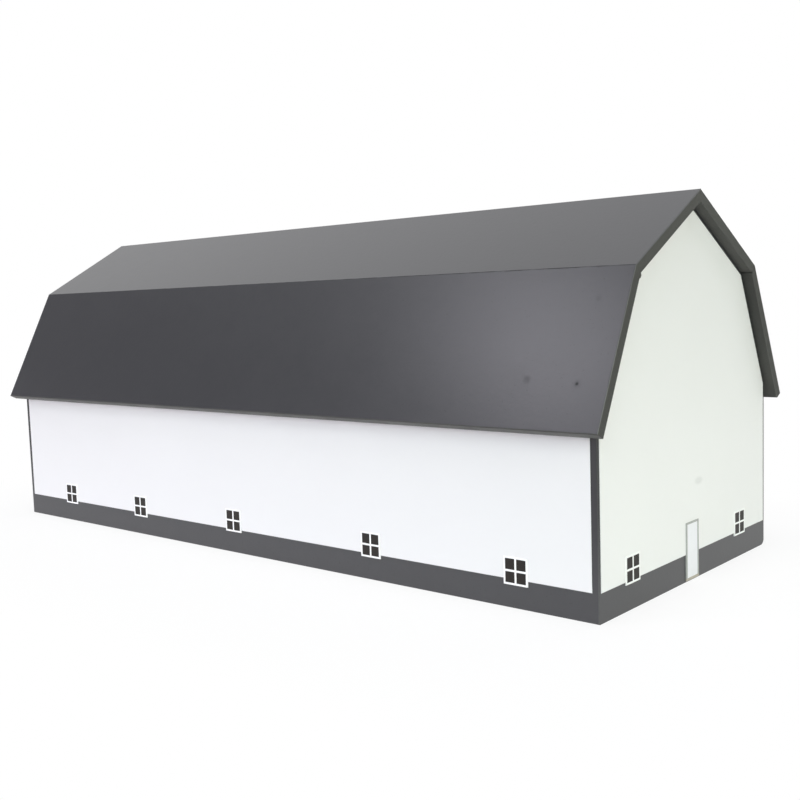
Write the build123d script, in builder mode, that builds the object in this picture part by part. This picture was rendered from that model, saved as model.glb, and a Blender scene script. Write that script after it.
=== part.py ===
from build123d import *
from math import cos, sin, tan, radians
import os

# Toy dairy barn with a gambrel roof, in millimetres. X runs along the barn, Y across it,
# Z up. The origin is under the middle of the barn, on the surface that it stands on.

# Main box
barn_length = 516.0            # over the outer faces of the two gables
barn_width = 203.2             # over the outer faces of the two long walls
board = 6.0                    # every wall, roof and floor board
corner_round = 0.6             # outer upright corners of the box
front_foot_round = 0.6         # lower outer edge of the front wall
back_foot_round = 4.6          # the same of the back wall
band_height = 15.4             # bare board below the siding

# Roof
ridge_height = 214.1           # sharp ridge, before its edge is eased
knee_half_width = 72.4         # outer knee, from the middle of the barn
upper_pitch = 29.2             # degrees from level
lower_pitch = 63.5
lower_board_length = 88.3      # outer knee to the lower edge
gable_overhang = 6.4
roof_edge_round = 0.6          # outer edges at the gables and the eaves
roof_back_ease = 0.4           # edges of the same boards on their inner side
ridge_round = 0.9
knee_round = 0.8

# Knee rod, let into the inner side of the glued front knee
rod_radius = 1.6
rod_drop = 1.1                 # its axis, down the lower board from the knee's inner corner
rod_inset = 0.15               # its axis, inside the inner face of that board
rod_clearance = 0.05

# Back flap and its continuous hinge
flap_rest_gap = 0.25           # flap to gables and back wall
flap_joint_gap = 0.30          # flap to the upper board, across the mitre
flap_inner_ease = 0.9          # eased inner edges on both sides of the back knee
knuckle_radius = 1.5
knuckle_lift = 0.1             # knuckles stand this far off the boards
knuckle_count = 25
knuckle_gap = 0.3
hinge_end_setback = 9.0        # hinge end to roof end
leaf_width = 10.0
leaf_thickness = 0.7
pin_radius = 0.6
pin_clearance = 0.05
screw_count = 9
screw_setback = 6.2            # screw row, from the hinge axis along the board
screw_head_radius = 1.8
screw_shank_radius = 0.8
screw_length = 5.2
screw_slot_width = 0.45
screw_slot_depth = 0.3
screw_clearance = 0.05

# Battens inside the gables, and the brads that fix the roof boards to them
batten = 10.0
brad_radius = 0.7
brad_length = 13.0
brad_sink = 1.2                # head below the face of the board, under filler and paint
brad_clearance = 0.05
brad_end_distance = 25.0       # brad to the upper or lower edge of its board
brad_wall_gap = 0.6            # lowest brad to the top of the front wall

# Siding sheets
siding_thickness = 0.25
front_siding_margin = 3.75     # siding edge to the corner of the barn, on a long wall
gable_siding_margin = 1.8      # the same on a gable, at its front edge
gable_back_margin = 2.4        # and at its back edge
eave_siding_margin = 1.9       # siding edge to the roof boards

# Windows: a white frame of four lights over dark panes
window_size = 14.8
window_bar = 1.05              # outer bars
window_mullion = 1.1           # the cross
window_thickness = 0.6
pane_recess = 0.08
left_window_to_corner = 58.2   # window centres of the long walls, from -X to +X
second_window_step = 87.7
middle_window_x = -11.1
fourth_window_step = 100.4
right_window_to_corner = 48.3
gable_window_spots = (-68.5, 62.9)
long_wall_window_heights = (20.8, 20.15, 21.3, 20.7, 19.8)    # set by hand, not in line
gable_window_heights = (21.2, 20.9)

# Doors
door_width = 12.5
door_height = 32.0             # top of the leaf above the ground
door_trim = 1.5                # at both sides
door_head_trim = 1.1
door_offset = -0.75            # its middle, from the middle of the gable
door_sill_height = 2.0
door_ground_gap = 0.6
door_thickness = 0.5
door_trim_thickness = 0.6

# Worked out from the values above
half_length = barn_length / 2
half_width = barn_width / 2
roof_half = half_length + gable_overhang
inner_half_length = half_length - board
inner_half_width = half_width - board
bend = lower_pitch - upper_pitch
left_window_x = left_window_to_corner - half_length
right_window_x = half_length - right_window_to_corner
long_wall_window_spots = (
    left_window_x,
    left_window_x + second_window_step,
    middle_window_x,
    right_window_x - fourth_window_step,
    right_window_x,
)
long_wall_windows = list(zip(long_wall_window_spots, long_wall_window_heights))
gable_windows = list(zip(gable_window_spots, gable_window_heights))


def unit(y, z):
    size = (y * y + z * z) ** 0.5
    return (y / size, z / size)


def move(point, direction, distance):
    return (point[0] + direction[0] * distance, point[1] + direction[1] * distance)


# Unit vectors of the +Y half of the roof section: outward normals of the two boards,
# their directions down the slope, and the middle direction at the knee
upper_normal = (sin(radians(upper_pitch)), cos(radians(upper_pitch)))
lower_normal = (sin(radians(lower_pitch)), cos(radians(lower_pitch)))
upper_down = (cos(radians(upper_pitch)), -sin(radians(upper_pitch)))
lower_down = (cos(radians(lower_pitch)), -sin(radians(lower_pitch)))
knee_out = unit(upper_normal[0] + lower_normal[0], upper_normal[1] + lower_normal[1])

knee_point = (knee_half_width, ridge_height - knee_half_width * tan(radians(upper_pitch)))
upper_board_length = knee_half_width / cos(radians(upper_pitch))


def knee_at(depth):
    """Knee corner of the line that runs at a depth below the outer roof faces."""
    return move(knee_point, knee_out, -depth / cos(radians(bend / 2)))


def ridge_at(depth):
    return (0, ridge_height - depth / cos(radians(upper_pitch)))


def lower_line_height(y, depth):
    """Height at which the lower board's line at a depth crosses a given Y."""
    corner = knee_at(depth)
    return corner[1] - (y - corner[0]) * tan(radians(lower_pitch))


def eave_at(depth):
    return move(move(knee_point, lower_down, lower_board_length), lower_normal, -depth)


def flip(points, side):
    return [(side * y, z) for y, z in points]


def eased_corner(corner, away, inward, half_angle, radius):
    """Three points of the arc that eases a mitred corner, from the board's face to the
    mitre: away runs from the corner along the face, inward along the mitre."""
    centre = move(corner, inward, radius / sin(radians(half_angle)))
    start = move(corner, away, radius / tan(radians(half_angle)))
    end = move(centre, inward, -radius)
    middle_way = unit(start[0] + end[0] - 2 * centre[0], start[1] + end[1] - 2 * centre[1])
    return [start, move(centre, middle_way, radius), end]


ridge_arc = eased_corner((0, ridge_height), upper_down, (0, -1), 90 - upper_pitch, ridge_round)
knee_in = (-knee_out[0], -knee_out[1])
knee_half_angle = 90 - bend / 2
upper_up = (-upper_down[0], -upper_down[1])
upper_knee_arc = eased_corner(knee_point, upper_up, knee_in, knee_half_angle, knee_round)
lower_knee_arc = eased_corner(knee_point, lower_down, knee_in, knee_half_angle, knee_round)
rod_centre = move(move(knee_at(board), lower_down, rod_drop), lower_normal, rod_inset)


def board_plane(normal, side, point):
    """Plane on the outer face of a roof board: local X along the barn, Z outward. Local Y
    runs down the slope on the +Y side and up it on the -Y side."""
    return Plane(
        origin=(0, side * point[0], point[1]),
        x_dir=(1, 0, 0),
        z_dir=(0, side * normal[0], normal[1]),
    )


def roof_section(side, corners, arcs):
    """Closed outline in the YZ plane: straight runs through corners, with an eased arc
    wherever a corner is the name of one."""
    runs = []
    for corner in corners:
        runs.append(flip(arcs[corner], side) if isinstance(corner, str) else flip([corner], side))
    for index, run in enumerate(runs):
        following = runs[(index + 1) % len(runs)]
        if len(run) == 3:
            ThreePointArc(*run)
        Line(run[-1], following[0])


def roof_board(side, normal, start, finish, corners, arcs):
    """A board of the roof, from start to finish as measured down the slope from the outer
    knee. Its end edges, and its lower edge where that is the eave, are eased. Then it is
    cut to its mitred outline."""
    face = board_plane(normal, side, knee_point)
    with BuildPart() as blank:
        with BuildSketch(face):
            with Locations((0, side * (start + finish) / 2)):
                Rectangle(2 * roof_half, finish - start)
        extrude(amount=-board)
        outward = Axis(face.origin, face.z_dir)
        for place, radius in ((-1, roof_edge_round), (0, roof_back_ease)):
            rim = blank.faces().sort_by(outward)[place].edges()
            eased = rim.filter_by(lambda edge: abs(edge.center().X) > roof_half - 0.01)
            if finish == lower_board_length:
                eased = eased + [rim.sort_by(Axis.Z)[0]]
            fillet(eased, radius=radius)
        with BuildSketch(Plane.YZ):
            with BuildLine():
                roof_section(side, corners, arcs)
            make_face()
        extrude(amount=roof_half + board, both=True, mode=Mode.INTERSECT)
    return blank.part


# Roof boards. Each runs the full length of the roof; ridge and knees are mitred.
upper_arcs = {"ridge": ridge_arc[::-1], "knee": upper_knee_arc}
front_upper_corners = ["ridge", "knee", knee_at(board), ridge_at(board)]
back_upper_corners = [
    "ridge",
    "knee",
    move(knee_at(board), knee_out, flap_inner_ease),
    move(knee_at(board), upper_down, -flap_inner_ease),
    ridge_at(board),
]

# The flap is held off the mitre so that it can swing
mitre_shift = flap_joint_gap / cos(radians(bend / 2))
flap_knee_arc = [move(point, lower_down, mitre_shift) for point in lower_knee_arc]
flap_inner_knee = move(knee_at(board), lower_down, mitre_shift)
past_eave = [move(eave_at(board), lower_down, board), move(eave_at(0), lower_down, board)]
front_lower_corners = ["knee", past_eave[1], past_eave[0], knee_at(board)]
flap_corners = [
    "knee",
    past_eave[1],
    past_eave[0],
    move(flap_inner_knee, lower_down, flap_inner_ease),
    move(flap_inner_knee, knee_out, flap_inner_ease),
]
lower_arcs = {"knee": lower_knee_arc[::-1]}
flap_arcs = {"knee": flap_knee_arc[::-1]}

upper_run = (-upper_board_length - board, board)
lower_run = (-board, lower_board_length)
front_upper_blank = roof_board(-1, upper_normal, *upper_run, front_upper_corners, upper_arcs)
back_upper_blank = roof_board(1, upper_normal, *upper_run, back_upper_corners, upper_arcs)
front_lower_blank = roof_board(-1, lower_normal, *lower_run, front_lower_corners, lower_arcs)
back_flap_blank = roof_board(1, lower_normal, *lower_run, flap_corners, flap_arcs)


def groove_for_rod(solid):
    """The same piece with the groove, or the hole, that the knee rod lies in."""
    with BuildPart() as grooved:
        add(solid)
        with BuildSketch(Plane.YZ):
            with Locations(flip([rod_centre], -1)[0]):
                Circle(rod_radius + rod_clearance)
        extrude(amount=roof_half, both=True, mode=Mode.SUBTRACT)
    return grooved.part


# Rod in the groove along the inner corner of the front knee
with BuildPart() as knee_rod:
    with BuildSketch(Plane.YZ):
        with Locations(flip([rod_centre], -1)[0]):
            Circle(rod_radius)
    extrude(amount=roof_half - roof_back_ease, both=True)

# Long walls, mitred at their ends, with tops bevelled to the slope of the roof boards
front_wall_top = lower_line_height(half_width, board)
back_wall_top = lower_line_height(half_width, board + flap_rest_gap)
bevel_rise = board * tan(radians(lower_pitch))


def wall_plan(side):
    """Plan of a long wall: mitred ends, with the barn's corner eased on its own half."""
    corner = (half_length, side * half_width)
    inward = unit(-1, -side)
    start, middle, end = eased_corner(corner, (-1, 0), inward, 45, corner_round)
    mirrored = [(-x, y) for x, y in (end, middle, start)]
    ThreePointArc(start, middle, end)
    Line(end, (inner_half_length, side * inner_half_width))
    Line((inner_half_length, side * inner_half_width), (-inner_half_length, side * inner_half_width))
    Line((-inner_half_length, side * inner_half_width), mirrored[0])
    ThreePointArc(*mirrored)
    Line(mirrored[2], start)


def foot_arc(side, radius):
    """Start on the wall's outer face, middle and end, on the level, of the arc that eases
    the lower outer edge of a long wall."""
    reach = radius * (1 - cos(radians(45)))
    start = (side * half_width, radius)
    middle = (side * (half_width - reach), reach)
    return start, middle, (side * (half_width - radius), 0)


def long_wall(side, top, foot_round):
    with BuildPart() as wall:
        with BuildSketch(Plane.XY):
            with BuildLine():
                wall_plan(side)
            make_face()
        extrude(amount=top + bevel_rise)
        foot = foot_arc(side, foot_round)
        with BuildSketch(Plane.YZ):
            with BuildLine():
                ThreePointArc(*foot)
                Polyline(
                    foot[2],
                    (side * inner_half_width, 0),
                    (side * inner_half_width, top + bevel_rise),
                    (side * half_width, top),
                    foot[0],
                )
            make_face()
        extrude(amount=half_length, both=True, mode=Mode.INTERSECT)
    return wall.part


front_wall = long_wall(-1, front_wall_top, front_foot_round)
back_wall = long_wall(1, back_wall_top, back_foot_round)

# Gables. Their outline follows the inner faces of the roof boards, and stands a rest gap
# below the flap. The upright edges are mitred to the long walls.

def gable_outline(margin, bottom, front_edge, back_edge):
    """Outline of a gable sheet, a margin inside the roof line, from a bottom height, with
    its upright edges at the given distances from the middle of the barn."""
    depth = board + margin
    back_depth = depth + flap_rest_gap
    apex = ridge_at(depth)
    front_knee = knee_at(depth)
    # the upper line of the back roof meets the line of the flap
    low_knee = knee_at(back_depth)
    rise = apex[1] - low_knee[1] - low_knee[0] * tan(radians(lower_pitch))
    back_y = rise / (tan(radians(upper_pitch)) - tan(radians(lower_pitch)))
    back_z = apex[1] - back_y * tan(radians(upper_pitch))
    Polyline(
        (-front_edge, bottom),
        (-front_edge, lower_line_height(front_edge, depth)),
        (-front_knee[0], front_knee[1]),
        apex,
        (back_y, back_z),
        (back_edge, lower_line_height(back_edge, back_depth)),
        (back_edge, bottom),
        close=True,
    )


def gable_wall_part(end):
    """A gable board, its outer face at end * half_length."""
    with BuildPart() as gable:
        with BuildSketch(Plane.YZ.offset(end * inner_half_length)):
            with BuildLine():
                gable_outline(0, 0, half_width, half_width)
            make_face()
        extrude(amount=end * board)
        # eased lower corners, in line with the long walls
        for side, radius in ((-1, front_foot_round), (1, back_foot_round)):
            foot = foot_arc(side, radius)
            with BuildSketch(Plane.YZ.offset(end * inner_half_length)):
                with BuildLine():
                    ThreePointArc(*foot)
                    Polyline(foot[2], (side * half_width, 0), foot[0])
                make_face()
            extrude(amount=end * board, mode=Mode.SUBTRACT)
        # mitre and eased corner at the two long walls
        for side, top in ((-1, front_wall_top), (1, back_wall_top)):
            corner = (end * half_length, side * half_width)
            inward = unit(-end, -side)
            start, middle, finish = eased_corner(corner, (0, -side), inward, 45, corner_round)
            inside = (end * inner_half_length, side * inner_half_width)
            outside = (end * (half_length + board), side * (half_width + board))
            with BuildSketch(Plane.XY):
                with BuildLine():
                    ThreePointArc(start, middle, finish)
                    Line(finish, inside)
                    Line(inside, (inside[0] - end * board, outside[1]))
                    Line((inside[0] - end * board, outside[1]), outside)
                    Line(outside, (outside[0], start[1]))
                    Line((outside[0], start[1]), start)
                make_face()
            extrude(amount=top + bevel_rise, mode=Mode.SUBTRACT)
    return groove_for_rod(gable.part)


right_gable_wall = gable_wall_part(1)
left_gable_wall = gable_wall_part(-1)

# Floor board between the four walls
with BuildPart() as floor_board:
    with BuildSketch(Plane.XY):
        Rectangle(2 * inner_half_length, 2 * inner_half_width)
    extrude(amount=board)

# Battens glued inside the gables, under each fixed roof board
batten_depth = board + batten


def batten_part(end, outline, side):
    with BuildPart() as strip:
        with BuildSketch(Plane.YZ.offset(end * (inner_half_length - batten))):
            with BuildLine():
                Polyline(*flip(outline, side), close=True)
            make_face()
        extrude(amount=end * batten)
    return groove_for_rod(strip.part) if side < 0 else strip.part


upper_batten_outline = [ridge_at(board), knee_at(board), knee_at(batten_depth), ridge_at(batten_depth)]
back_batten_outline = [
    ridge_at(board),
    move(knee_at(board), upper_down, -2 * flap_inner_ease),
    move(knee_at(batten_depth), upper_down, -2 * flap_inner_ease),
    ridge_at(batten_depth),
]
lower_batten_outline = [
    knee_at(board),
    (inner_half_width, lower_line_height(inner_half_width, board)),
    (inner_half_width, lower_line_height(inner_half_width, batten_depth)),
    knee_at(batten_depth),
]

battens = {}
for end, end_name in ((1, "right"), (-1, "left")):
    battens[end_name + "_front_upper_batten"] = batten_part(end, upper_batten_outline, -1)
    battens[end_name + "_front_lower_batten"] = batten_part(end, lower_batten_outline, -1)
    battens[end_name + "_back_upper_batten"] = batten_part(end, back_batten_outline, 1)


# Brads through the fixed roof boards into the battens
brad_x = inner_half_length - batten / 2
wall_top_run = (inner_half_width - knee_at(board)[0]) / cos(radians(lower_pitch))
wall_top_run += board * tan(radians(bend / 2))
lowest_brad_run = wall_top_run - brad_radius - brad_wall_gap
upper_rows = (-upper_board_length + brad_end_distance, -upper_board_length / 2, -brad_end_distance)
lower_rows = (brad_end_distance, (brad_end_distance + lowest_brad_run) / 2, lowest_brad_run)
brad_planes = {
    "front_upper": (board_plane(upper_normal, -1, knee_point), -1, upper_rows),
    "back_upper": (board_plane(upper_normal, 1, knee_point), 1, upper_rows),
    "front_lower": (board_plane(lower_normal, -1, knee_point), -1, lower_rows),
}


def brad_spots(side, rows):
    """Local places of the brads, with rows measured down the slope from the outer knee."""
    return [(x, side * row) for x in (-brad_x, brad_x) for row in rows]


with BuildPart() as roof_brads:
    for plane, side, rows in brad_planes.values():
        with BuildSketch(plane.offset(-brad_sink)):
            with Locations(*brad_spots(side, rows)):
                Circle(brad_radius)
        extrude(amount=-brad_length)


def bore_for_brads(solid, key):
    """The same piece with holes where the brads of one board are in it. The filler over
    the heads is one with the board."""
    plane, side, rows = brad_planes[key]
    with BuildPart() as bored:
        add(solid)
        with BuildSketch(plane.offset(brad_clearance - brad_sink)):
            with Locations(*brad_spots(side, rows)):
                Circle(brad_radius + brad_clearance)
        extrude(amount=-brad_length - 2 * brad_clearance, mode=Mode.SUBTRACT)
    return bored.part


for end_name in ("right", "left"):
    for key in ("front_upper", "front_lower", "back_upper"):
        name = end_name + "_" + key + "_batten"
        battens[name] = bore_for_brads(battens[name], key)

# Continuous hinge on the outer faces of the back knee. Its axis is parallel to X.
axis_lift = knuckle_radius + knuckle_lift
hinge_axis = move(knee_point, knee_out, axis_lift / cos(radians(bend / 2)))
hinge_half = roof_half - hinge_end_setback
knuckle_pitch = 2 * hinge_half / knuckle_count
knuckle_length = knuckle_pitch - knuckle_gap
upper_foot = move(hinge_axis, upper_normal, -axis_lift)
lower_foot = move(hinge_axis, lower_normal, -axis_lift)
upper_leaf_plane = board_plane(upper_normal, 1, upper_foot)
lower_leaf_plane = board_plane(lower_normal, 1, lower_foot)
plate_start = knuckle_radius + knuckle_gap
screw_xs = [hinge_half * (2 * (index + 0.5) / screw_count - 1) for index in range(screw_count)]
screw_cone = screw_head_radius - screw_shank_radius


def knuckle_starts(first):
    return [-hinge_half + knuckle_pitch * index for index in range(first, knuckle_count, 2)]


def hinge_leaf(plane, way, first):
    """One hinge leaf: a plate on the board, way +1 down the slope or -1 up it, with every
    second knuckle, each joined to the plate by a tongue of the same sheet."""
    with BuildPart() as leaf:
        with BuildSketch(plane):
            with Locations((0, way * (plate_start + leaf_width) / 2)):
                Rectangle(2 * hinge_half - knuckle_gap, leaf_width - plate_start)
            for start in knuckle_starts(first):
                with Locations((start + knuckle_pitch / 2, way * plate_start / 2)):
                    Rectangle(knuckle_length, plate_start)
        extrude(amount=leaf_thickness)
        for start in knuckle_starts(first):
            with BuildSketch(Plane.YZ.offset(start + knuckle_gap / 2)):
                with Locations(hinge_axis):
                    Circle(knuckle_radius)
            extrude(amount=knuckle_length)
        with BuildSketch(Plane.YZ):
            with Locations(hinge_axis):
                Circle(pin_radius + pin_clearance)
        extrude(amount=hinge_half, both=True, mode=Mode.SUBTRACT)
        with Locations(plane.offset(leaf_thickness)):
            with Locations(*[(x, way * screw_setback) for x in screw_xs]):
                CounterSinkHole(
                    screw_shank_radius + screw_clearance,
                    screw_head_radius + screw_clearance,
                    depth=leaf_thickness,
                    counter_sink_angle=90,
                )
    return leaf.part


hinge_fixed_leaf = hinge_leaf(upper_leaf_plane, -1, 0)
hinge_flap_leaf = hinge_leaf(lower_leaf_plane, 1, 1)

with BuildPart() as hinge_pin:
    with BuildSketch(Plane.YZ):
        with Locations(hinge_axis):
            Circle(pin_radius)
    extrude(amount=hinge_half, both=True)


def screw_group(plane, way):
    """Countersunk screws of one leaf, with slotted heads flush with the leaf."""
    top = plane.offset(leaf_thickness)
    spots = [(x, way * screw_setback) for x in screw_xs]
    with BuildPart() as screws:
        with BuildSketch(top):
            with Locations(*spots):
                Circle(screw_shank_radius)
        extrude(amount=-screw_length)
        with BuildSketch(top):
            with Locations(*spots):
                Circle(screw_head_radius)
        extrude(amount=-screw_cone, taper=45)
        with BuildSketch(top):
            with Locations(*spots):
                Rectangle(3 * screw_head_radius, screw_slot_width, rotation=20)
        extrude(amount=-screw_slot_depth, mode=Mode.SUBTRACT)
    return screws.part


hinge_fixed_screws = screw_group(upper_leaf_plane, -1)
hinge_flap_screws = screw_group(lower_leaf_plane, 1)


def bore_for_screws(solid, plane, way):
    """The same board with countersunk pilot holes for the screws of one leaf."""
    with BuildPart() as bored:
        add(solid)
        with Locations(plane):
            with Locations(*[(x, way * screw_setback) for x in screw_xs]):
                CounterSinkHole(
                    screw_shank_radius + screw_clearance,
                    screw_head_radius - leaf_thickness + 2 * screw_clearance,
                    depth=screw_length,
                    counter_sink_angle=90,
                )
    return bored.part


back_upper_bored = bore_for_screws(back_upper_blank, upper_leaf_plane, -1)
back_flap_bored = bore_for_screws(back_flap_blank, lower_leaf_plane, 1)

# Siding sheets, windows and doors. A wall plane has its local X along the wall, its local
# Y up, and its Z outward.
wall_planes = {
    "front": Plane(origin=(0, -half_width, 0), x_dir=(1, 0, 0), z_dir=(0, -1, 0)),
    "back": Plane(origin=(0, half_width, 0), x_dir=(-1, 0, 0), z_dir=(0, 1, 0)),
    "right": Plane(origin=(half_length, 0, 0), x_dir=(0, 1, 0), z_dir=(1, 0, 0)),
    "left": Plane(origin=(-half_length, 0, 0), x_dir=(0, -1, 0), z_dir=(-1, 0, 0)),
}
window_spots = {
    "front": long_wall_windows,
    "back": long_wall_windows,
    "right": gable_windows,
    "left": gable_windows,
}
pane_size = (window_size - 2 * window_bar - window_mullion) / 2
pane_step = pane_size + window_mullion
trimmed_door_width = door_width + 2 * door_trim
trimmed_door_height = door_height + door_head_trim - door_ground_gap


def cut_openings(solid, wall, door):
    """The same sheet with openings for the windows, and for the door, of its wall."""
    with BuildPart() as cut:
        add(solid)
        with BuildSketch(wall_planes[wall]):
            with Locations(*window_spots[wall]):
                Rectangle(window_size, window_size)
            if door:
                with Locations((door_offset, door_ground_gap + trimmed_door_height / 2)):
                    Rectangle(trimmed_door_width, trimmed_door_height)
        extrude(amount=siding_thickness, mode=Mode.SUBTRACT)
    return cut.part


def long_siding(wall, top):
    width = barn_length - 2 * front_siding_margin
    height = top - eave_siding_margin - band_height
    with BuildPart() as sheet:
        with BuildSketch(wall_planes[wall]):
            with Locations((0, band_height + height / 2)):
                Rectangle(width, height)
        extrude(amount=siding_thickness)
    return cut_openings(sheet.part, wall, False)


def gable_siding(wall, end):
    front_edge = half_width - gable_siding_margin
    back_edge = half_width - gable_back_margin
    with BuildPart() as sheet:
        with BuildSketch(Plane.YZ.offset(end * half_length)):
            with BuildLine():
                gable_outline(eave_siding_margin, band_height, front_edge, back_edge)
            make_face()
        extrude(amount=end * siding_thickness)
    return cut_openings(sheet.part, wall, True)


sidings = {
    "front_siding": long_siding("front", front_wall_top),
    "back_siding": long_siding("back", back_wall_top),
    "right_gable_siding": gable_siding("right", 1),
    "left_gable_siding": gable_siding("left", -1),
}


def window_frame(wall, spot):
    with BuildPart() as frame:
        with BuildSketch(wall_planes[wall]):
            with Locations(spot):
                Rectangle(window_size, window_size)
                with GridLocations(pane_step, pane_step, 2, 2):
                    Rectangle(pane_size, pane_size, mode=Mode.SUBTRACT)
        extrude(amount=window_thickness)
    return frame.part


def window_panes(wall):
    with BuildPart() as panes:
        with BuildSketch(wall_planes[wall]):
            with Locations(*window_spots[wall]):
                with GridLocations(pane_step, pane_step, 2, 2):
                    Rectangle(pane_size, pane_size)
        extrude(amount=window_thickness - pane_recess)
    return panes.part


windows = {}
for wall, spots in window_spots.items():
    for number, spot in enumerate(spots, start=1):
        windows[wall + "_window_" + str(number)] = window_frame(wall, spot)
    windows[wall + "_window_panes"] = window_panes(wall)


def door_pieces(wall):
    """Leaf, trim on three sides and sill of a gable's door."""
    leaf_height = door_height - door_sill_height
    with BuildPart() as leaf:
        with BuildSketch(wall_planes[wall]):
            with Locations((door_offset, door_sill_height + leaf_height / 2)):
                Rectangle(door_width, leaf_height)
        extrude(amount=door_thickness)
    with BuildPart() as trim:
        with BuildSketch(wall_planes[wall]):
            with Locations((door_offset, door_sill_height + (leaf_height + door_head_trim) / 2)):
                Rectangle(trimmed_door_width, leaf_height + door_head_trim)
            with Locations((door_offset, door_sill_height + leaf_height / 2)):
                Rectangle(door_width, leaf_height, mode=Mode.SUBTRACT)
        extrude(amount=door_trim_thickness)
    with BuildPart() as sill:
        with BuildSketch(wall_planes[wall]):
            with Locations((door_offset, (door_ground_gap + door_sill_height) / 2)):
                Rectangle(trimmed_door_width, door_sill_height - door_ground_gap)
        extrude(amount=door_trim_thickness)
    return leaf.part, trim.part, sill.part


doors = {}
for wall in ("right", "left"):
    for piece, part in zip(("leaf", "trim", "sill"), door_pieces(wall)):
        doors[wall + "_door_" + piece] = part

# One file for each sub-part
os.makedirs("parts", exist_ok=True)
pieces = {
    "floor_board": floor_board.part,
    "front_wall": front_wall,
    "back_wall": back_wall,
    "right_gable_wall": right_gable_wall,
    "left_gable_wall": left_gable_wall,
    "front_upper_roof": bore_for_brads(groove_for_rod(front_upper_blank), "front_upper"),
    "front_lower_roof": bore_for_brads(groove_for_rod(front_lower_blank), "front_lower"),
    "back_upper_roof": bore_for_brads(back_upper_bored, "back_upper"),
    "back_roof_flap": back_flap_bored,
    "knee_rod": knee_rod.part,
    "hinge_fixed_leaf": hinge_fixed_leaf,
    "hinge_flap_leaf": hinge_flap_leaf,
    "hinge_pin": hinge_pin.part,
    "hinge_fixed_screws": hinge_fixed_screws,
    "hinge_flap_screws": hinge_flap_screws,
    "roof_brads": roof_brads.part,
}
for group in (battens, sidings, windows, doors):
    pieces.update(group)

for name, piece in pieces.items():
    piece.label = name
    export_step(piece, "parts/" + name + ".step")
print(len(pieces), "nodes")
print("hinge axis y, z", hinge_axis, "walls", front_wall_top, back_wall_top)
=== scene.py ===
import math

import bpy
from mathutils import Matrix, Vector

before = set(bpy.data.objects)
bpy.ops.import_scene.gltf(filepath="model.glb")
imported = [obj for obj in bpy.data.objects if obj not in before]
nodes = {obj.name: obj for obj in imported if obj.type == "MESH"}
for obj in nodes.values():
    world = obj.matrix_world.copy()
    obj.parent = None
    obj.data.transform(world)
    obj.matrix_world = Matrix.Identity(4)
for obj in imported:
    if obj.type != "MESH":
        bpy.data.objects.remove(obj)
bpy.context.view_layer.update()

bpy.ops.object.select_all(action="DESELECT")
bpy.context.scene.view_settings.view_transform = "Standard"

# Viewpoint of the photograph. It was solved from the barn's straight edges in a picture
# 800 pixels square, and stands to the right of the front, a little above the ground.
view_azimuth = math.radians(40.89)
view_elevation = math.radians(5.44)
view_roll = math.radians(-1.89)
view_place = Vector((0.5130, -0.5382, 0.1602))
focal_pixels = 1052.6
picture_pixels = 800

camera_back = Vector((
    math.sin(view_azimuth) * math.cos(view_elevation),
    -math.cos(view_azimuth) * math.cos(view_elevation),
    math.sin(view_elevation),
))
level_right = (-camera_back).cross(Vector((0, 0, 1))).normalized()
level_up = level_right.cross(-camera_back)
camera_right = math.cos(view_roll) * level_right + math.sin(view_roll) * level_up
camera_up = -math.sin(view_roll) * level_right + math.cos(view_roll) * level_up
bpy.ops.object.camera_add(location=view_place)
camera = bpy.context.object
camera.name = "photograph_view"
camera.matrix_world = Matrix.Translation(view_place) @ Matrix((
    camera_right, camera_up, camera_back)).transposed().to_4x4()
camera.data.sensor_width = 36.0
camera.data.lens = camera.data.sensor_width * focal_pixels / picture_pixels
camera.data.clip_start = 0.01
bpy.context.scene.camera = camera

# Backdrop: a white bounce hangs over and behind the barn, and the room in front is dark,
# which is what the satin paint shows. The eye, and glass, see white all round, and so does
# gloss where it looks at the bounce.
bounce_direction = (-0.30, 0.45, 0.84)
bounce_rim, bounce_full = 0.42, 0.80  # cosines of the angle from bounce_direction
bounce_level = 0.45
room_level = 0.06


def linear(hex_colour):
    """Linear red, green, blue and alpha of an sRGB hex colour."""
    parts = [int(hex_colour[place:place + 2], 16) / 255 for place in (1, 3, 5)]
    return [p / 12.92 if p <= 0.04045 else ((p + 0.055) / 1.055) ** 2.4 for p in parts] + [1]


def add_node(tree, kind, settings=None, inputs=None):
    """Adds a node, sets its own settings, and fills its inputs with values or links.

    Inputs that share a name go by number: a colour Mix has its share at 0 and its colours
    at 6 and 7, with the result at output 2, and a plain Mix its values at 2 and 3.
    """
    node = tree.nodes.new(kind)
    for name, value in (settings or {}).items():
        setattr(node, name, value)
    for name, value in (inputs or {}).items():
        if isinstance(value, bpy.types.NodeSocket):
            tree.links.new(value, node.inputs[name])
        else:
            node.inputs[name].default_value = value
    return node


def sort_rays(tree):
    """Returns 1 on rays by which the eye looks, straight or through glass, and 1 on gloss."""
    rays = add_node(tree, "ShaderNodeLightPath")
    sight = add_node(tree, "ShaderNodeMath", {"operation": "MAXIMUM"}, {
        0: rays.outputs["Is Camera Ray"], 1: rays.outputs["Is Transmission Ray"]}).outputs[0]
    return sight, rays.outputs["Is Glossy Ray"]


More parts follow.
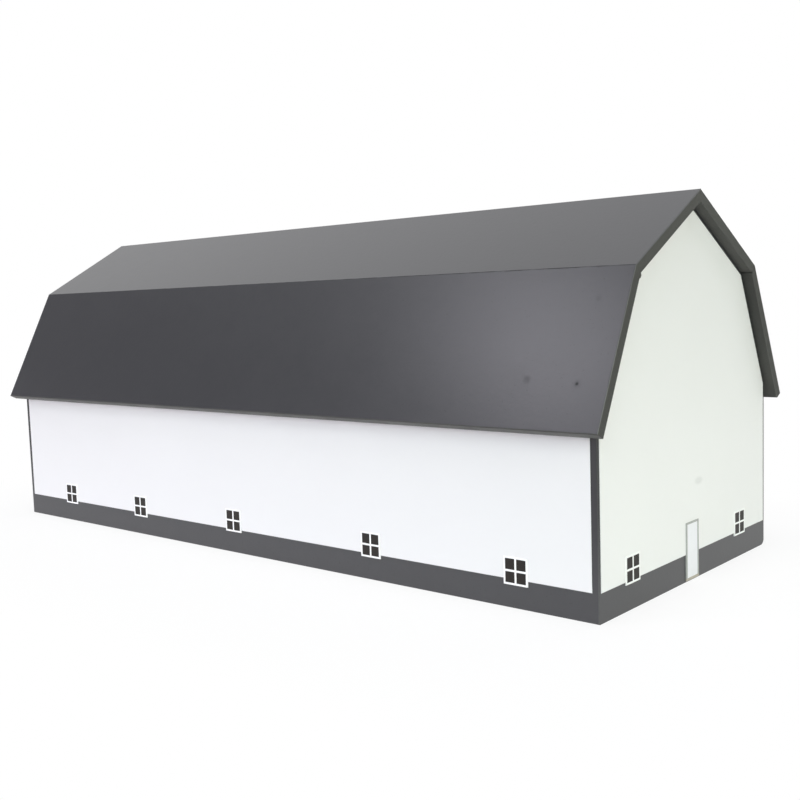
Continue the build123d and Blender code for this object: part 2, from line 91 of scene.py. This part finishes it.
world = bpy.data.worlds.new("white_studio")
bpy.context.scene.world = world
world.use_nodes = True
tree = world.node_tree
tree.nodes.clear()
direction = add_node(tree, "ShaderNodeTexCoord").outputs["Generated"]
toward_bounce = add_node(tree, "ShaderNodeVectorMath", {"operation": "DOT_PRODUCT"},
                         {0: direction, 1: bounce_direction}).outputs["Value"]
bounce_share = add_node(tree, "ShaderNodeMapRange", {"interpolation_type": "SMOOTHSTEP"}, {
    "Value": toward_bounce, "From Min": bounce_rim, "From Max": bounce_full}).outputs["Result"]
room_and_bounce = add_node(tree, "ShaderNodeMath", {"operation": "MULTIPLY_ADD"}, {
    0: bounce_share, 1: bounce_level - room_level, 2: room_level}).outputs[0]
studio = add_node(tree, "ShaderNodeBackground", {},
                  {"Color": linear("#FFFFFF"), "Strength": room_and_bounce})
white = add_node(tree, "ShaderNodeBackground", {},
                 {"Color": linear("#FFFFFF"), "Strength": 1.0})
sight, gloss = sort_rays(tree)
gloss_on_bounce = add_node(tree, "ShaderNodeMath", {"operation": "MULTIPLY"},
                           {0: gloss, 1: bounce_share}).outputs[0]
seen_white = add_node(tree, "ShaderNodeMath", {"operation": "MAXIMUM"},
                      {0: sight, 1: gloss_on_bounce}).outputs[0]
backdrop = add_node(tree, "ShaderNodeMixShader", {}, {
    0: seen_white, 1: studio.outputs[0], 2: white.outputs[0]})
add_node(tree, "ShaderNodeOutputWorld", {}, {"Surface": backdrop.outputs[0]})

# Studio floor: a sheet of white paper that shows plain white from a hand's breadth away
# from the barn, and keeps the barn's shadow near it.
footprint = (0.258, 0.102, 0)
shadow_kept, shadow_lost = 0.02, 0.16  # distances from the footprint
white_at_barn = 0.85
paper_size = 2
paper_middle = (0, 0.725, 0)

floor_material = bpy.data.materials.new("white_backdrop_paper")
floor_material.use_nodes = True
floor_material.cycles.emission_sampling = "NONE"
tree = floor_material.node_tree
tree.nodes.clear()
paper = add_node(tree, "ShaderNodeBsdfDiffuse", {}, {"Color": linear("#F9F9F9")})
glow = add_node(tree, "ShaderNodeEmission", {},
                {"Color": linear("#FFFFFF"), "Strength": 1.0})
place = add_node(tree, "ShaderNodeTexCoord").outputs["Object"]
sides = add_node(tree, "ShaderNodeVectorMath", {"operation": "ABSOLUTE"}, {0: place})
beyond = add_node(tree, "ShaderNodeVectorMath", {"operation": "SUBTRACT"},
                  {0: sides.outputs[0], 1: footprint})
outside = add_node(tree, "ShaderNodeVectorMath", {"operation": "MAXIMUM"},
                   {0: beyond.outputs[0], 1: (0, 0, 0)})
from_barn = add_node(tree, "ShaderNodeVectorMath", {"operation": "LENGTH"},
                     {0: outside.outputs[0]}).outputs["Value"]
whitening = add_node(tree, "ShaderNodeMapRange", {}, {
    "Value": from_barn, "From Min": shadow_kept, "From Max": shadow_lost,
    "To Min": white_at_barn, "To Max": 1.0}).outputs["Result"]
sight, gloss = sort_rays(tree)
sight_and_gloss = add_node(tree, "ShaderNodeMath", {"operation": "MAXIMUM"},
                           {0: sight, 1: gloss}).outputs[0]
seen_white = add_node(tree, "ShaderNodeMath", {"operation": "MULTIPLY"},
                      {0: whitening, 1: sight_and_gloss}).outputs[0]
mixed = add_node(tree, "ShaderNodeMixShader", {}, {
    0: seen_white, 1: paper.outputs[0], 2: glow.outputs[0]})
add_node(tree, "ShaderNodeOutputMaterial", {}, {"Surface": mixed.outputs[0]})
bpy.ops.mesh.primitive_plane_add(size=paper_size, location=paper_middle)
floor = bpy.context.object
bpy.ops.object.transform_apply(location=True)
floor.name = "paper_floor"
floor.data.materials.append(floor_material)

# Soft boxes: a small key high on the left, wide ones in front, on the right and overhead,
# and two that fill the back and the left gable.
barn_middle = (0, 0, 0.1)
highlight = (0.2, -0.09, 0.13)


def soft_box(name, place, target, width, height, watts, hex_colour):
    """A rectangular lamp at place that faces target."""
    bpy.ops.object.light_add(type="AREA", location=place)
    lamp = bpy.context.object
    lamp.name = name
    lamp.data.shape = "RECTANGLE"
    lamp.data.size = width
    lamp.data.size_y = height
    lamp.data.energy = watts
    lamp.data.color = linear(hex_colour)[:3]
    aim = Vector(target) - Vector(place)
    lamp.rotation_euler = aim.to_track_quat("-Z", "Y").to_euler()


soft_box("key", (-0.78, -1.14, 1.35), highlight, 0.36, 0.36, 3.55, "#F8F5FF")
soft_box("front", (0.70, -1.70, 1.10), barn_middle, 1.2, 1.0, 11.4, "#E9F9FF")
soft_box("front_low", (-1.10, -1.60, 0.35), barn_middle, 1.0, 0.5, 14.6, "#FEF6FF")
soft_box("right", (1.90, -0.70, 0.80), barn_middle, 1.0, 1.0, 20.0, "#F9FFEC")
soft_box("over", (0.25, -0.50, 2.05), barn_middle, 1.0, 1.0, 10.8, "#EBE9FF")
soft_box("back", (0.30, 2.00, 0.90), barn_middle, 1.6, 0.9, 14.5, "#FFFFFF")
soft_box("left", (-1.95, 0.10, 0.30), barn_middle, 0.9, 0.4, 4.5, "#FFFFFF")

# Long walls and gables: medium density fibreboard, glued at mitred corners, its edges just
# broken with paper, then sprayed with satin charcoal enamel. The outside has full coats:
# a soft sheen, a faint orange peel and a few dust pits. Inside, the one thin coat sank in.
mm = 0.001
wall_roughness = 0.34
thin_coat_roughness = 0.62
mark_roughness = 0.70
edge_wear_and_highlight_gain = 1.6
outer_skin = (257.6 * mm, 101.2 * mm, 1.0)  # beyond it lie the outer faces of the walls
# The painted eave shade grows between these heights, up to this share of near black.
eave_shade_starts, eave_shade_full = 12 * mm, 60 * mm
eave_shade_depth = 0.40


def start_material(name):
    """A new material. Returns it with its empty tree."""
    material = bpy.data.materials.new(name)
    material.use_nodes = True
    material.node_tree.nodes.clear()
    return material, material.node_tree


def finish_material(tree, colour, roughness, height=None, depth=mm, metallic=0.0,
                    specular=0.5):
    """Ends a tree with its shader. The surface rises by height times depth."""
    finish = {"Base Color": colour, "Roughness": roughness, "Metallic": metallic,
              "Specular IOR Level": specular}
    if height is not None:
        finish["Normal"] = add_node(tree, "ShaderNodeBump", {}, {
            "Height": height, "Distance": depth, "Strength": 1.0}).outputs[0]
    shader = add_node(tree, "ShaderNodeBsdfPrincipled", {}, finish)
    add_node(tree, "ShaderNodeOutputMaterial", {}, {"Surface": shader.outputs[0]})


def finish_node(name, material):
    """Gives a CAD node its material."""
    nodes[name].material_slots[0].material = material


def lay_enamel(tree, full_coats, roughness, marks_and_shade):
    """Charcoal enamel: full coats where full_coats is 1, a sunk thin coat where it is 0,
    darkened toward near black by the last argument, which carries real marks and painted
    shade. Returns its colour, roughness and height in millimetres."""
    spots = add_node(tree, "ShaderNodeTexCoord")
    place = spots.outputs["Object"]
    # Passes of the gun, about 35 mm across.
    clouds = add_node(tree, "ShaderNodeTexNoise", {}, {
        "Vector": place, "Scale": 1 / (35 * mm), "Detail": 3.0}).outputs[0]
    # Orange peel, 2.5 mm from crest to crest.
    peel = add_node(tree, "ShaderNodeTexNoise", {}, {
        "Vector": place, "Scale": 1 / (2.5 * mm), "Detail": 1.0}).outputs[0]
    # Blotches in the sheen, 7 mm across, where the coats flowed together.
    blotches = add_node(tree, "ShaderNodeTexNoise", {}, {
        "Vector": place, "Scale": 1 / (7 * mm), "Detail": 2.0}).outputs[0]
    # Dust pits of 0.3 mm, drawn at 1 mm because finer ones would not show.
    dust = add_node(tree, "ShaderNodeTexNoise", {}, {
        "Vector": place, "Scale": 1 / (1.0 * mm), "Detail": 0.0}).outputs[0]
    pits = add_node(tree, "ShaderNodeMapRange", {"interpolation_type": "SMOOTHSTEP"}, {
        "Value": dust, "From Min": 0.76, "From Max": 0.84}).outputs["Result"]
    # Fibres of the board, 0.8 mm, which stand up through the thin coat.
    fibres = add_node(tree, "ShaderNodeTexNoise", {}, {
        "Vector": place, "Scale": 1 / (0.8 * mm), "Detail": 3.0}).outputs[0]

    full_colour = add_node(tree, "ShaderNodeMix", {"data_type": "RGBA"}, {
        0: clouds, 6: linear("#3B3B3E"), 7: linear("#414144")}).outputs[2]
    full_colour = add_node(tree, "ShaderNodeMix", {"data_type": "RGBA"}, {
        0: blotches, 6: full_colour, 7: linear("#424244")}).outputs[2]
    thin_colour = add_node(tree, "ShaderNodeMix", {"data_type": "RGBA"}, {
        0: fibres, 6: linear("#3A3A37"), 7: linear("#4B4B47")}).outputs[2]
    colour = add_node(tree, "ShaderNodeMix", {"data_type": "RGBA"}, {
        0: full_coats, 6: thin_colour, 7: full_colour}).outputs[2]
    # Paint is thinnest over a sharp edge and wears paler, and the paler line is also a painted
    # highlight along the edge: 1 halfway round, 0 on the faces.
    across = add_node(tree, "ShaderNodeSeparateXYZ", {},
                      {0: spots.outputs["Normal"]}).outputs["X"]
    squared = add_node(tree, "ShaderNodeMath", {"operation": "MULTIPLY"},
                       {0: across, 1: across}).outputs[0]
    rest = add_node(tree, "ShaderNodeMath", {"operation": "SUBTRACT"},
                    {0: 1.0, 1: squared}).outputs[0]
    edge = add_node(tree, "ShaderNodeMath", {"operation": "MULTIPLY"},
                    {0: squared, 1: rest}).outputs[0]
    edge_wear_and_highlight = add_node(tree, "ShaderNodeMath", {"operation": "MULTIPLY"},
                   {0: edge, 1: edge_wear_and_highlight_gain}).outputs[0]
    colour = add_node(tree, "ShaderNodeMix", {"data_type": "RGBA"}, {
        0: edge_wear_and_highlight, 6: colour, 7: linear("#6E6E6C")}).outputs[2]
    pit_share = add_node(tree, "ShaderNodeMath", {"operation": "MULTIPLY"},
                         {0: pits, 1: 0.3}).outputs[0]
    colour = add_node(tree, "ShaderNodeMix", {"data_type": "RGBA"}, {
        0: pit_share, 6: colour, 7: linear("#242424")}).outputs[2]
    # Real marks and painted shade both darken the enamel here.
    colour = add_node(tree, "ShaderNodeMix", {"data_type": "RGBA"}, {
        0: marks_and_shade, 6: colour, 7: linear("#161617")}).outputs[2]

    # The clouds dull the sheen by up to 0.02 and the blotches by up to 0.03.
    cloud_gloss = add_node(tree, "ShaderNodeMath", {"operation": "MULTIPLY_ADD"}, {
        0: clouds, 1: 0.02, 2: roughness - 0.02}).outputs[0]
    full_gloss = add_node(tree, "ShaderNodeMath", {"operation": "MULTIPLY_ADD"}, {
        0: blotches, 1: 0.03, 2: cloud_gloss}).outputs[0]
    coat_gloss = add_node(tree, "ShaderNodeMix", {"data_type": "FLOAT"}, {
        0: full_coats, 2: thin_coat_roughness, 3: full_gloss}).outputs[0]
    gloss = add_node(tree, "ShaderNodeMix", {"data_type": "FLOAT"}, {
        0: marks_and_shade, 2: coat_gloss, 3: mark_roughness}).outputs[0]

    # Heights in millimetres: 0.025 of peel, or 0.05 of raised fibre, less 0.01 in a pit.
    peel_height = add_node(tree, "ShaderNodeMath", {"operation": "MULTIPLY"},
                           {0: peel, 1: 0.025}).outputs[0]
    fibre_height = add_node(tree, "ShaderNodeMath", {"operation": "MULTIPLY"},
                            {0: fibres, 1: 0.05}).outputs[0]
    coat_height = add_node(tree, "ShaderNodeMix", {"data_type": "FLOAT"}, {
        0: full_coats, 2: fibre_height, 3: peel_height}).outputs[0]
    height = add_node(tree, "ShaderNodeMath", {"operation": "MULTIPLY_ADD"},
                      {0: pits, 1: -0.01, 2: coat_height}).outputs[0]
    return colour, gloss, height


wall_enamel, tree = start_material("satin_charcoal_enamel_on_walls")
place = add_node(tree, "ShaderNodeTexCoord").outputs["Object"]
sides = add_node(tree, "ShaderNodeVectorMath", {"operation": "ABSOLUTE"}, {0: place})
past = add_node(tree, "ShaderNodeVectorMath", {"operation": "SUBTRACT"},
                {0: sides.outputs[0], 1: outer_skin})
parts = add_node(tree, "ShaderNodeSeparateXYZ", {}, {0: past.outputs[0]})
farther = add_node(tree, "ShaderNodeMath", {"operation": "MAXIMUM"},
                   {0: parts.outputs["X"], 1: parts.outputs["Y"]}).outputs[0]
outside = add_node(tree, "ShaderNodeMath", {"operation": "GREATER_THAN"},
                   {0: farther, 1: 0.0}).outputs[0]
# Painted shade: the bare enamel is drawn darker going up toward the eaves, as their shadow,
# and lighter low down.
height_up = add_node(tree, "ShaderNodeSeparateXYZ", {}, {0: place}).outputs["Z"]
painted_eave_shade = add_node(tree, "ShaderNodeMapRange", {"interpolation_type": "SMOOTHSTEP"}, {
    "Value": height_up, "From Min": eave_shade_starts, "From Max": eave_shade_full,
    "To Min": 0.0, "To Max": eave_shade_depth}).outputs["Result"]
finish_material(tree, *lay_enamel(tree, outside, wall_roughness, painted_eave_shade))
for name in ("front_wall", "back_wall", "right_gable_wall", "left_gable_wall"):
    finish_node(name, wall_enamel)

# Floor board: a bare sheet of the same fibreboard, laid between the walls. It is tan and
# matt, with short darker fibre flecks and patches that are a little worn.
bare_board, tree = start_material("bare_fibreboard")
place = add_node(tree, "ShaderNodeTexCoord").outputs["Object"]
fibres = add_node(tree, "ShaderNodeTexNoise", {}, {
    "Vector": place, "Scale": 1 / (1.2 * mm), "Detail": 4.0, "Distortion": 0.6}).outputs[0]
patches = add_node(tree, "ShaderNodeTexNoise", {}, {
    "Vector": place, "Scale": 1 / (45 * mm), "Detail": 2.0}).outputs[0]
board_colour = add_node(tree, "ShaderNodeMix", {"data_type": "RGBA"}, {
    0: fibres, 6: linear("#9C7F58"), 7: linear("#C9AE86")}).outputs[2]
worn = add_node(tree, "ShaderNodeMapRange", {}, {
    "Value": patches, "From Min": 0.35, "From Max": 0.65,
    "To Min": 0.0, "To Max": 0.35}).outputs["Result"]
board_colour = add_node(tree, "ShaderNodeMix", {"data_type": "RGBA"}, {
    0: worn, 6: board_colour, 7: linear("#A88A62")}).outputs[2]
finish_material(tree, board_colour, 0.85, fibres, 0.05 * mm)
finish_node("floor_board", bare_board)

# Battens: planed pine strips 10 mm square, glued and bradded inside the gables under each
# roof board. The grain runs along each strip, pale early wood with darker late wood lines.
batten_slopes = {"front_upper": 29.2, "front_lower": 63.5, "back_upper": -29.2}
for slope_name, slope in batten_slopes.items():
    pine, tree = start_material("planed_pine_" + slope_name)
    place = add_node(tree, "ShaderNodeTexCoord").outputs["Object"]
    along = add_node(tree, "ShaderNodeMapping", {}, {
        "Vector": place, "Rotation": (-math.radians(slope), 0, 0)}).outputs[0]
    stretched = add_node(tree, "ShaderNodeVectorMath", {"operation": "MULTIPLY"},
                         {0: along, 1: (1, 0.06, 1)}).outputs[0]
    # Growth rings 2.2 mm apart; a band wave repeats every 0.314 divided by its scale.
    rings = add_node(tree, "ShaderNodeTexWave", {"bands_direction": "Z"}, {
        "Vector": stretched, "Scale": 0.314 / (2.2 * mm), "Distortion": 2.5,
        "Detail": 2.0, "Detail Scale": 0.8}).outputs[1]
    pores = add_node(tree, "ShaderNodeTexNoise", {}, {
        "Vector": stretched, "Scale": 1 / (0.35 * mm), "Detail": 2.0}).outputs[0]
    late_wood = add_node(tree, "ShaderNodeMath", {"operation": "POWER"},
                         {0: rings, 1: 2.5}).outputs[0]
    wood_colour = add_node(tree, "ShaderNodeMix", {"data_type": "RGBA"}, {
        0: late_wood, 6: linear("#DDBE8E"), 7: linear("#B98850")}).outputs[2]
    fine = add_node(tree, "ShaderNodeMath", {"operation": "MULTIPLY"},
                    {0: pores, 1: 0.3}).outputs[0]
    wood_colour = add_node(tree, "ShaderNodeMix", {"data_type": "RGBA"}, {
        0: fine, 6: wood_colour, 7: linear("#C79A62")}).outputs[2]
    finish_material(tree, wood_colour, 0.6, pores, 0.06 * mm)
    for side in ("right", "left"):
        finish_node(side + "_" + slope_name + "_batten", pine)

# Roof boards, and the rod glued in the front knee: the walls' fibreboard and enamel, sprayed
# from above in the same satin coats. Sawn ends and undersides got a thin coat that sank in
# and dried dull.
roof_roughness = 0.285
knee_line = (0.0, -72.4 * mm, 173.64 * mm)
knee_height = (165 * mm, 175 * mm)
eave_height = 110 * mm
small_marks = (  # place, radius and depth of a brad, the dip round it, and two filler dabs
    ((0.2470, -0.1006, 0.1171), 1.3 * mm, 0.80),
    ((0.2470, -0.1006, 0.1171), 3.6 * mm, 0.07),
    ((0.2177, -0.0999, 0.1185), 3.2 * mm, 0.14),
    ((0.2478, -0.0804, 0.1576), 2.2 * mm, 0.14),
)
roof_enamel, tree = start_material("satin_charcoal_enamel_on_roof")
spots = add_node(tree, "ShaderNodeTexCoord")
place = spots.outputs["Object"]
places = add_node(tree, "ShaderNodeSeparateXYZ", {}, {0: place})
facing = add_node(tree, "ShaderNodeSeparateXYZ", {}, {0: spots.outputs["Normal"]})
from_above = add_node(tree, "ShaderNodeMapRange", {"interpolation_type": "SMOOTHSTEP"}, {
    "Value": facing.outputs["Z"], "From Min": 0.1, "From Max": 0.3}).outputs["Result"]
# The glue line at the front knee shows as a fine dark crack. It wanders between 0.1 and
# 0.4 mm wide, and is stronger toward the near gable.
in_section = add_node(tree, "ShaderNodeVectorMath", {"operation": "MULTIPLY"},
                      {0: place, 1: (0, 1, 1)}).outputs[0]
from_knee = add_node(tree, "ShaderNodeVectorMath", {"operation": "DISTANCE"},
                     {0: in_section, 1: knee_line}).outputs["Value"]
wander = add_node(tree, "ShaderNodeTexNoise", {}, {
    "Vector": place, "Scale": 1 / (7 * mm), "Detail": 2.0}).outputs[0]
half_width = add_node(tree, "ShaderNodeMapRange", {}, {
    "Value": wander, "From Min": 0.35, "From Max": 0.65,
    "To Min": 0.05 * mm, "To Max": 0.30 * mm}).outputs["Result"]
inside_crack = add_node(tree, "ShaderNodeMath", {"operation": "SUBTRACT"},
                        {0: half_width, 1: from_knee}).outputs[0]
crack = add_node(tree, "ShaderNodeMapRange", {}, {
    "Value": inside_crack, "From Min": -0.12 * mm, "From Max": 0.05 * mm}).outputs["Result"]
crack_strength = add_node(tree, "ShaderNodeMapRange", {}, {
    "Value": places.outputs["X"], "From Min": -0.25, "From Max": 0.2,
    "To Min": 0.4, "To Max": 0.9}).outputs["Result"]
marks_and_shade = add_node(tree, "ShaderNodeMath", {"operation": "MULTIPLY"},
                 {0: crack, 1: crack_strength}).outputs[0]
# One brad near the lower corner is a dull dimple where its filler shrank, and two dabs of
# filler are dim soft spots.
for mark_place, radius, strength in small_marks:
    from_mark = add_node(tree, "ShaderNodeVectorMath", {"operation": "DISTANCE"},
                         {0: place, 1: mark_place}).outputs["Value"]
    dimple = add_node(tree, "ShaderNodeMapRange", {"interpolation_type": "SMOOTHSTEP"}, {
        "Value": from_mark, "From Min": 0.2 * radius, "From Max": radius,
        "To Min": strength, "To Max": 0.0}).outputs["Result"]
    marks_and_shade = add_node(tree, "ShaderNodeMath", {"operation": "MAXIMUM"},
                     {0: marks_and_shade, 1: dimple}).outputs[0]
# Painted shade under the two lower boards: their undersides are drawn darker higher up, toward
# the knee, where the roof above shades them.
steep_below = add_node(tree, "ShaderNodeMath", {"operation": "COMPARE"},
                       {0: facing.outputs["Z"], 1: -0.446, 2: 0.1}).outputs[0]
shaded = add_node(tree, "ShaderNodeMapRange", {"interpolation_type": "SMOOTHSTEP"}, {
    "Value": places.outputs["Z"], "From Min": 100 * mm, "From Max": 150 * mm,
    "To Min": 0.0, "To Max": 0.35}).outputs["Result"]
painted_underside_shade = add_node(tree, "ShaderNodeMath", {"operation": "MULTIPLY"},
                     {0: steep_below, 1: shaded}).outputs[0]
# The lower boards' sawn ends are drawn a little darker than the upper ones.
end_face = add_node(tree, "ShaderNodeMath", {"operation": "COMPARE"},
                    {0: facing.outputs["X"], 1: 1.0, 2: 0.2}).outputs[0]
below_knee = add_node(tree, "ShaderNodeMapRange", {}, {
    "Value": places.outputs["Z"], "From Min": knee_height[0], "From Max": knee_height[1],
    "To Min": 0.16, "To Max": 0.0}).outputs["Result"]
darker_end = add_node(tree, "ShaderNodeMath", {"operation": "MULTIPLY"},
                      {0: end_face, 1: below_knee}).outputs[0]
for shade in (painted_underside_shade, darker_end):
    marks_and_shade = add_node(tree, "ShaderNodeMath", {"operation": "MAXIMUM"},
                     {0: marks_and_shade, 1: shade}).outputs[0]
painted, gloss, height = lay_enamel(tree, from_above, roof_roughness, marks_and_shade)
# Painted light: the eaves' sawn edges face down to the white floor and are drawn paler, as its
# bounced light, unevenly along the board.
downward = add_node(tree, "ShaderNodeMapRange", {}, {
    "Value": facing.outputs["Z"], "From Min": -0.80, "From Max": -0.86}).outputs["Result"]
at_eave = add_node(tree, "ShaderNodeMath", {"operation": "LESS_THAN"},
                   {0: places.outputs["Z"], 1: eave_height}).outputs[0]
eave_edge = add_node(tree, "ShaderNodeMath", {"operation": "MULTIPLY"},
                     {0: downward, 1: at_eave}).outputs[0]
uneven = add_node(tree, "ShaderNodeTexNoise", {}, {
    "Vector": place, "Scale": 1 / (12 * mm), "Detail": 3.0}).outputs[0]
painted_floor_light = add_node(tree, "ShaderNodeMath", {"operation": "MULTIPLY"},
                 {0: eave_edge, 1: uneven}).outputs[0]
roof_colour = add_node(tree, "ShaderNodeMix", {"data_type": "RGBA"}, {
    0: painted_floor_light, 6: painted, 7: linear("#6E6E6B")}).outputs[2]
finish_material(tree, roof_colour, gloss, height)
for name in ("front_upper_roof", "front_lower_roof", "back_upper_roof", "back_roof_flap",
             "knee_rod"):
    finish_node(name, roof_enamel)

# Siding: one plain sheet of white vinyl film stuck on each wall, calendered, with a low
# satin sheen. The board telegraphs through it as a very shallow ripple, and the near gable
# carries one soft smudge. The long walls are drawn a little greyer near the foot, a painted
# shade against the stronger light from the floor there.
long_wall_film = 101.4 * mm  # only the long walls' film lies farther out
foot_shade_full_below, foot_shade_gone_above = 12 * mm, 85 * mm
smudge_place = (258.2 * mm, 8.0 * mm, 54.5 * mm)
smudge_size = (6 * mm, 6 * mm, 2.6 * mm)
film, tree = start_material("white_vinyl_film")
place = add_node(tree, "ShaderNodeTexCoord").outputs["Object"]
clouds = add_node(tree, "ShaderNodeTexNoise", {}, {
    "Vector": place, "Scale": 1 / (60 * mm), "Detail": 3.0}).outputs[0]
ripple = add_node(tree, "ShaderNodeTexNoise", {}, {
    "Vector": place, "Scale": 1 / (9 * mm), "Detail": 2.0}).outputs[0]
film_colour = add_node(tree, "ShaderNodeMix", {"data_type": "RGBA"}, {
    0: clouds, 6: linear("#F0F0F0"), 7: linear("#F4F4F4")}).outputs[2]
places = add_node(tree, "ShaderNodeSeparateXYZ", {}, {0: place})
near_foot = add_node(tree, "ShaderNodeMapRange", {"interpolation_type": "SMOOTHSTEP"}, {
    "Value": places.outputs["Z"], "From Min": foot_shade_full_below, "From Max": foot_shade_gone_above,
    "To Min": 1.0, "To Max": 0.0}).outputs["Result"]
sideways = add_node(tree, "ShaderNodeMath", {"operation": "ABSOLUTE"},
                    {0: places.outputs["Y"]}).outputs[0]
on_long_wall = add_node(tree, "ShaderNodeMath", {"operation": "GREATER_THAN"},
                        {0: sideways, 1: long_wall_film}).outputs[0]
painted_foot_shade = add_node(tree, "ShaderNodeMath", {"operation": "MULTIPLY"},
                   {0: near_foot, 1: on_long_wall}).outputs[0]
# Painted shade: darker towards the foot of the long walls, against the stronger light from the
# floor.
film_colour = add_node(tree, "ShaderNodeMix", {"data_type": "RGBA"}, {
    0: painted_foot_shade, 6: film_colour, 7: linear("#EBEBEB")}).outputs[2]
to_smudge = add_node(tree, "ShaderNodeVectorMath", {"operation": "SUBTRACT"},
                     {0: place, 1: smudge_place}).outputs[0]
in_widths = add_node(tree, "ShaderNodeVectorMath", {"operation": "DIVIDE"},
                     {0: to_smudge, 1: smudge_size}).outputs[0]
from_smudge = add_node(tree, "ShaderNodeVectorMath", {"operation": "LENGTH"},
                       {0: in_widths}).outputs["Value"]
smudge = add_node(tree, "ShaderNodeMapRange", {"interpolation_type": "SMOOTHSTEP"}, {
    "Value": from_smudge, "From Min": 0.4, "From Max": 1.1,
    "To Min": 0.22, "To Max": 0.0}).outputs["Result"]
film_colour = add_node(tree, "ShaderNodeMix", {"data_type": "RGBA"}, {
    0: smudge, 6: film_colour, 7: linear("#B4B6B4")}).outputs[2]
film_gloss = add_node(tree, "ShaderNodeMath", {"operation": "MULTIPLY_ADD"},
                      {0: clouds, 1: 0.08, 2: 0.41}).outputs[0]
finish_material(tree, film_colour, film_gloss, ripple, 0.05 * mm)
for side in ("front", "back", "right_gable", "left_gable"):
    finish_node(side + "_siding", film)


# Windows: each frame is cut from thicker white sign vinyl, brighter than the siding, and
# its four lights show a dark brown sheet behind. Knife cut edges stay a little matt.
def cut_vinyl(name, grain_size, dark, pale, smoothest, roughest, depth, specular=0.5):
    """Sheet vinyl with a fine grain, in which colour, roughness and height vary together."""
    vinyl, tree = start_material(name)
    place = add_node(tree, "ShaderNodeTexCoord").outputs["Object"]
    grain = add_node(tree, "ShaderNodeTexNoise", {}, {
        "Vector": place, "Scale": 1 / grain_size, "Detail": 3.0}).outputs[0]
    colour = add_node(tree, "ShaderNodeMix", {"data_type": "RGBA"}, {
        0: grain, 6: linear(dark), 7: linear(pale)}).outputs[2]
    gloss = add_node(tree, "ShaderNodeMapRange", {}, {
        "Value": grain, "From Min": 0.3, "From Max": 0.7,
        "To Min": smoothest, "To Max": roughest}).outputs["Result"]
    finish_material(tree, colour, gloss, grain, depth, specular=specular)
    return vinyl


frame_vinyl = cut_vinyl("white_cut_vinyl", 2 * mm, "#F8F8F8", "#FCFCFC", 0.38, 0.46,
                        0.01 * mm)
dark_sheet = cut_vinyl("dark_brown_vinyl_sheet", 3 * mm, "#1D1915", "#28231F", 0.40, 0.52,
                       0.02 * mm, specular=0.27)
for name in nodes:
    if name.endswith("_window_panes"):
        finish_node(name, dark_sheet)
    elif "_window_" in name:
        finish_node(name, frame_vinyl)

# Doors: a leaf of white vinyl, a light grey vinyl trim on three sides, and a low sill in a
# greyish beige, all cut from sheet and stuck to the siding.
for part, dark, pale, roughness in (
        ("leaf", "#EEEEF4", "#F4F4FA", 0.45),
        ("trim", "#A5A6A5", "#B1B2B1", 0.50),
        ("sill", "#ACA599", "#BDB6AA", 0.55)):
    vinyl = cut_vinyl("cut_vinyl_door_" + part, 3 * mm, dark, pale,
                      roughness - 0.04, roughness + 0.04, 0.015 * mm)
    for side in ("right", "left"):
        finish_node(side + "_door_" + part, vinyl)

# Hinge: nickel plated steel strip, rolled and pierced, its leaves curled round one pin and
# held by small countersunk screws. Rolling leaves fine lines along it, and handling leaves
# duller patches.
nickel, tree = start_material("nickel_plated_steel_strip")
place = add_node(tree, "ShaderNodeTexCoord").outputs["Object"]
lengthwise = add_node(tree, "ShaderNodeVectorMath", {"operation": "MULTIPLY"},
                      {0: place, 1: (0.02, 1, 1)}).outputs[0]
# Rolling lines 0.1 mm apart, drawn at 0.4 mm because finer ones would not show.
lines = add_node(tree, "ShaderNodeTexNoise", {}, {
    "Vector": lengthwise, "Scale": 1 / (0.4 * mm), "Detail": 2.0}).outputs[0]
patches = add_node(tree, "ShaderNodeTexNoise", {}, {
    "Vector": place, "Scale": 1 / (14 * mm), "Detail": 4.0}).outputs[0]
metal_colour = add_node(tree, "ShaderNodeMix", {"data_type": "RGBA"}, {
    0: patches, 6: linear("#BAB5AC"), 7: linear("#CFCBC4")}).outputs[2]
line_gloss = add_node(tree, "ShaderNodeMapRange", {}, {
    "Value": lines, "To Min": 0.29, "To Max": 0.42}).outputs["Result"]
metal_gloss = add_node(tree, "ShaderNodeMath", {"operation": "MULTIPLY_ADD"},
                       {0: patches, 1: 0.12, 2: line_gloss}).outputs[0]
finish_material(tree, metal_colour, metal_gloss, lines, 0.01 * mm, metallic=1.0)
for name in nodes:
    if name.startswith("hinge_"):
        finish_node(name, nickel)

# Brads: bright drawn steel wire, driven below the roof's surface, filled and painted over.
# Drawing leaves fine marks of 0.3 mm, a little duller than the steel round them.
wire, tree = start_material("drawn_steel_wire")
place = add_node(tree, "ShaderNodeTexCoord").outputs["Object"]
draw_marks = add_node(tree, "ShaderNodeTexNoise", {}, {
    "Vector": place, "Scale": 1 / (0.3 * mm), "Detail": 2.0}).outputs[0]
wire_gloss = add_node(tree, "ShaderNodeMapRange", {}, {
    "Value": draw_marks, "To Min": 0.30, "To Max": 0.45}).outputs["Result"]
wire_colour = add_node(tree, "ShaderNodeMix", {"data_type": "RGBA"}, {
    0: draw_marks, 6: linear("#9C9B99"), 7: linear("#B6B5B3")}).outputs[2]
finish_material(tree, wire_colour, wire_gloss, metallic=1.0)
finish_node("roof_brads", wire)
